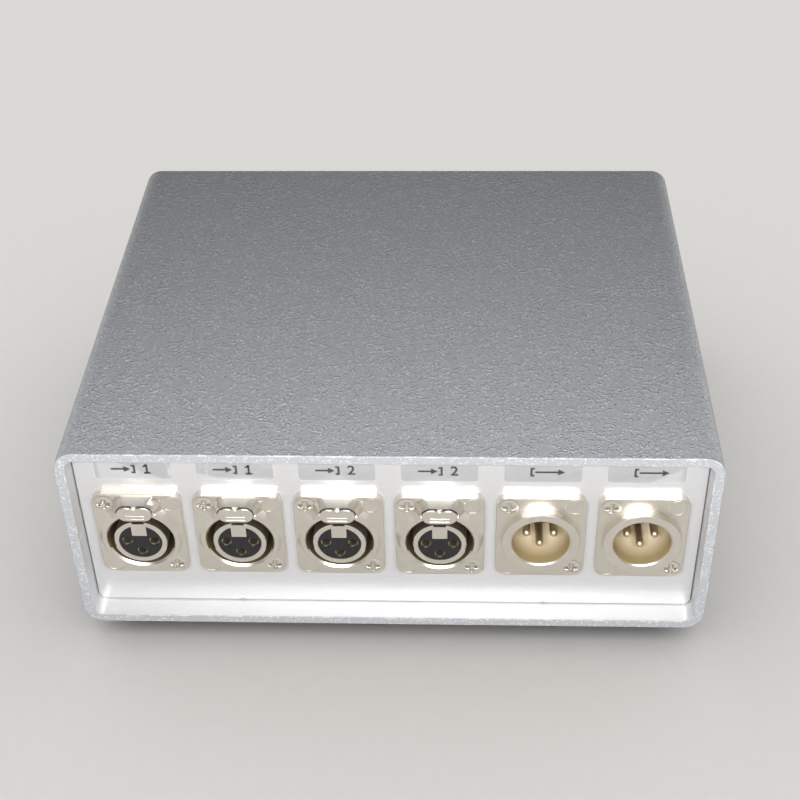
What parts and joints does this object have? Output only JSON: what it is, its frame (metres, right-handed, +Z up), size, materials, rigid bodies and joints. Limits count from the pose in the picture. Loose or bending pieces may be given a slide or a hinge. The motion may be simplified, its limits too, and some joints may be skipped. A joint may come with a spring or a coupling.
{
  "type": "audio source selector",
  "caption": "Low box of two coated shells that joins one of two stereo inputs to a stereo output, with a row of flanged round sockets at the rear and a turning knob in front.",
  "frame": {"origin": "middle of the underside of the bounding box, on the surface that the feet stand on", "axes": "+Z up, the knob faces -Y, the socket row faces +Y, +X along the socket row towards the first input"},
  "size_m": [0.188, 0.1694, 0.0735],
  "materials": {
    "coated_aluminium": "matte",
    "bare_aluminium": "satin",
    "knob_aluminium": "satin",
    "nickel": "polished",
    "pin_plating": "polished",
    "contact_plating": "polished",
    "black_moulding": "satin",
    "rotor_moulding": "satin",
    "steel": "satin",
    "brass": "satin",
    "rubber": "matte",
    "board": "satin",
    "clear_film": "gloss"
  },
  "bodies": {
    "case": {"upper_shell": "coated_aluminium", "lower_shell": "coated_aluminium", "rear_panel": "coated_aluminium", "front_panel": "coated_aluminium", "seam_strips": "bare_aluminium", "case_pillars": "bare_aluminium", "flange_screws": "nickel", "bushing_nut": "nickel", "input_1a_shell": "nickel", "input_1a_sleeve": "nickel", "input_1b_shell": "nickel", "input_1b_sleeve": "nickel", "input_2a_shell": "nickel", "input_2a_sleeve": "nickel", "input_2b_shell": "nickel", "input_2b_sleeve": "nickel", "output_a_shell": "nickel", "output_b_shell": "nickel", "output_a_pins": "pin_plating", "output_b_pins": "pin_plating", "input_1a_contacts": "contact_plating", "input_1b_contacts": "contact_plating", "input_2a_contacts": "contact_plating", "input_2b_contacts": "contact_plating", "switch_contacts": "contact_plating", "input_1a_insert": "black_moulding", "input_1b_insert": "black_moulding", "input_2a_insert": "black_moulding", "input_2b_insert": "black_moulding", "output_a_insert": "black_moulding", "output_b_insert": "black_moulding", "switch_body": "black_moulding", "case_screws": "steel", "panel_screws": "steel", "flange_nuts": "steel", "hook_pins": "steel", "switch_frame": "steel", "detent_spring": "steel", "input_1a_spring": "steel", "input_1b_spring": "steel", "input_2a_spring": "steel", "input_2b_spring": "steel", "panel_bushing": "brass", "rubber_feet": "rubber", "circuit_board": "board", "label_films": "clear_film"},
    "selector": {"selector_knob": "knob_aluminium", "grub_screws": "steel", "extension_shaft": "steel", "shaft_coupler": "brass", "switch_rotor": "rotor_moulding", "switch_wipers": "brass"},
    "input_1a_push_tab": {"input_1a_button": "nickel"},
    "input_1a_latch": {"input_1a_hook": "steel"},
    "input_1b_push_tab": {"input_1b_button": "nickel"},
    "input_1b_latch": {"input_1b_hook": "steel"},
    "input_2a_push_tab": {"input_2a_button": "nickel"},
    "input_2a_latch": {"input_2a_hook": "steel"},
    "input_2b_push_tab": {"input_2b_button": "nickel"},
    "input_2b_latch": {"input_2b_hook": "steel"}
  },
  "joints": [
    {"name": "selector_turn", "type": "hinge", "parent": "case", "child": "selector", "pos_m": [0, -0.075, 0.039], "axis": [0, 1, 0], "range_deg": [0, 30]},
    {"name": "input_1a_push", "type": "slide", "parent": "case", "child": "input_1a_push_tab", "axis": [0, -1, 0], "range_m": [0, 0.002], "stiffness_N_per_m": 800, "springref_m": -0.001, "deforming": ["input_1a_spring"]},
    {"name": "input_1a_lift", "type": "hinge", "parent": "case", "child": "input_1a_latch", "pos_m": [0.0735, 0.0639, 0.0487], "axis": [1, 0, 0], "range_deg": [0, 9]},
    {"name": "input_1b_push", "type": "slide", "parent": "case", "child": "input_1b_push_tab", "axis": [0, -1, 0], "range_m": [0, 0.002], "stiffness_N_per_m": 800, "springref_m": -0.001, "deforming": ["input_1b_spring"]},
    {"name": "input_1b_lift", "type": "hinge", "parent": "case", "child": "input_1b_latch", "pos_m": [0.0441, 0.0639, 0.0487], "axis": [1, 0, 0], "range_deg": [0, 9]},
    {"name": "input_2a_push", "type": "slide", "parent": "case", "child": "input_2a_push_tab", "axis": [0, -1, 0], "range_m": [0, 0.002], "stiffness_N_per_m": 800, "springref_m": -0.001, "deforming": ["input_2a_spring"]},
    {"name": "input_2a_lift", "type": "hinge", "parent": "case", "child": "input_2a_latch", "pos_m": [0.0147, 0.0639, 0.0487], "axis": [1, 0, 0], "range_deg": [0, 9]},
    {"name": "input_2b_push", "type": "slide", "parent": "case", "child": "input_2b_push_tab", "axis": [0, -1, 0], "range_m": [0, 0.002], "stiffness_N_per_m": 800, "springref_m": -0.001, "deforming": ["input_2b_spring"]},
    {"name": "input_2b_lift", "type": "hinge", "parent": "case", "child": "input_2b_latch", "pos_m": [-0.0147, 0.0639, 0.0487], "axis": [1, 0, 0], "range_deg": [0, 9]}
  ],
  "couplings": [
    {"joint": "input_1a_lift", "follows": "input_1a_push", "rad_per_m": 78.5},
    {"joint": "input_1b_lift", "follows": "input_1b_push", "rad_per_m": 78.5},
    {"joint": "input_2a_lift", "follows": "input_2a_push", "rad_per_m": 78.5},
    {"joint": "input_2b_lift", "follows": "input_2b_push", "rad_per_m": 78.5}
  ]
}
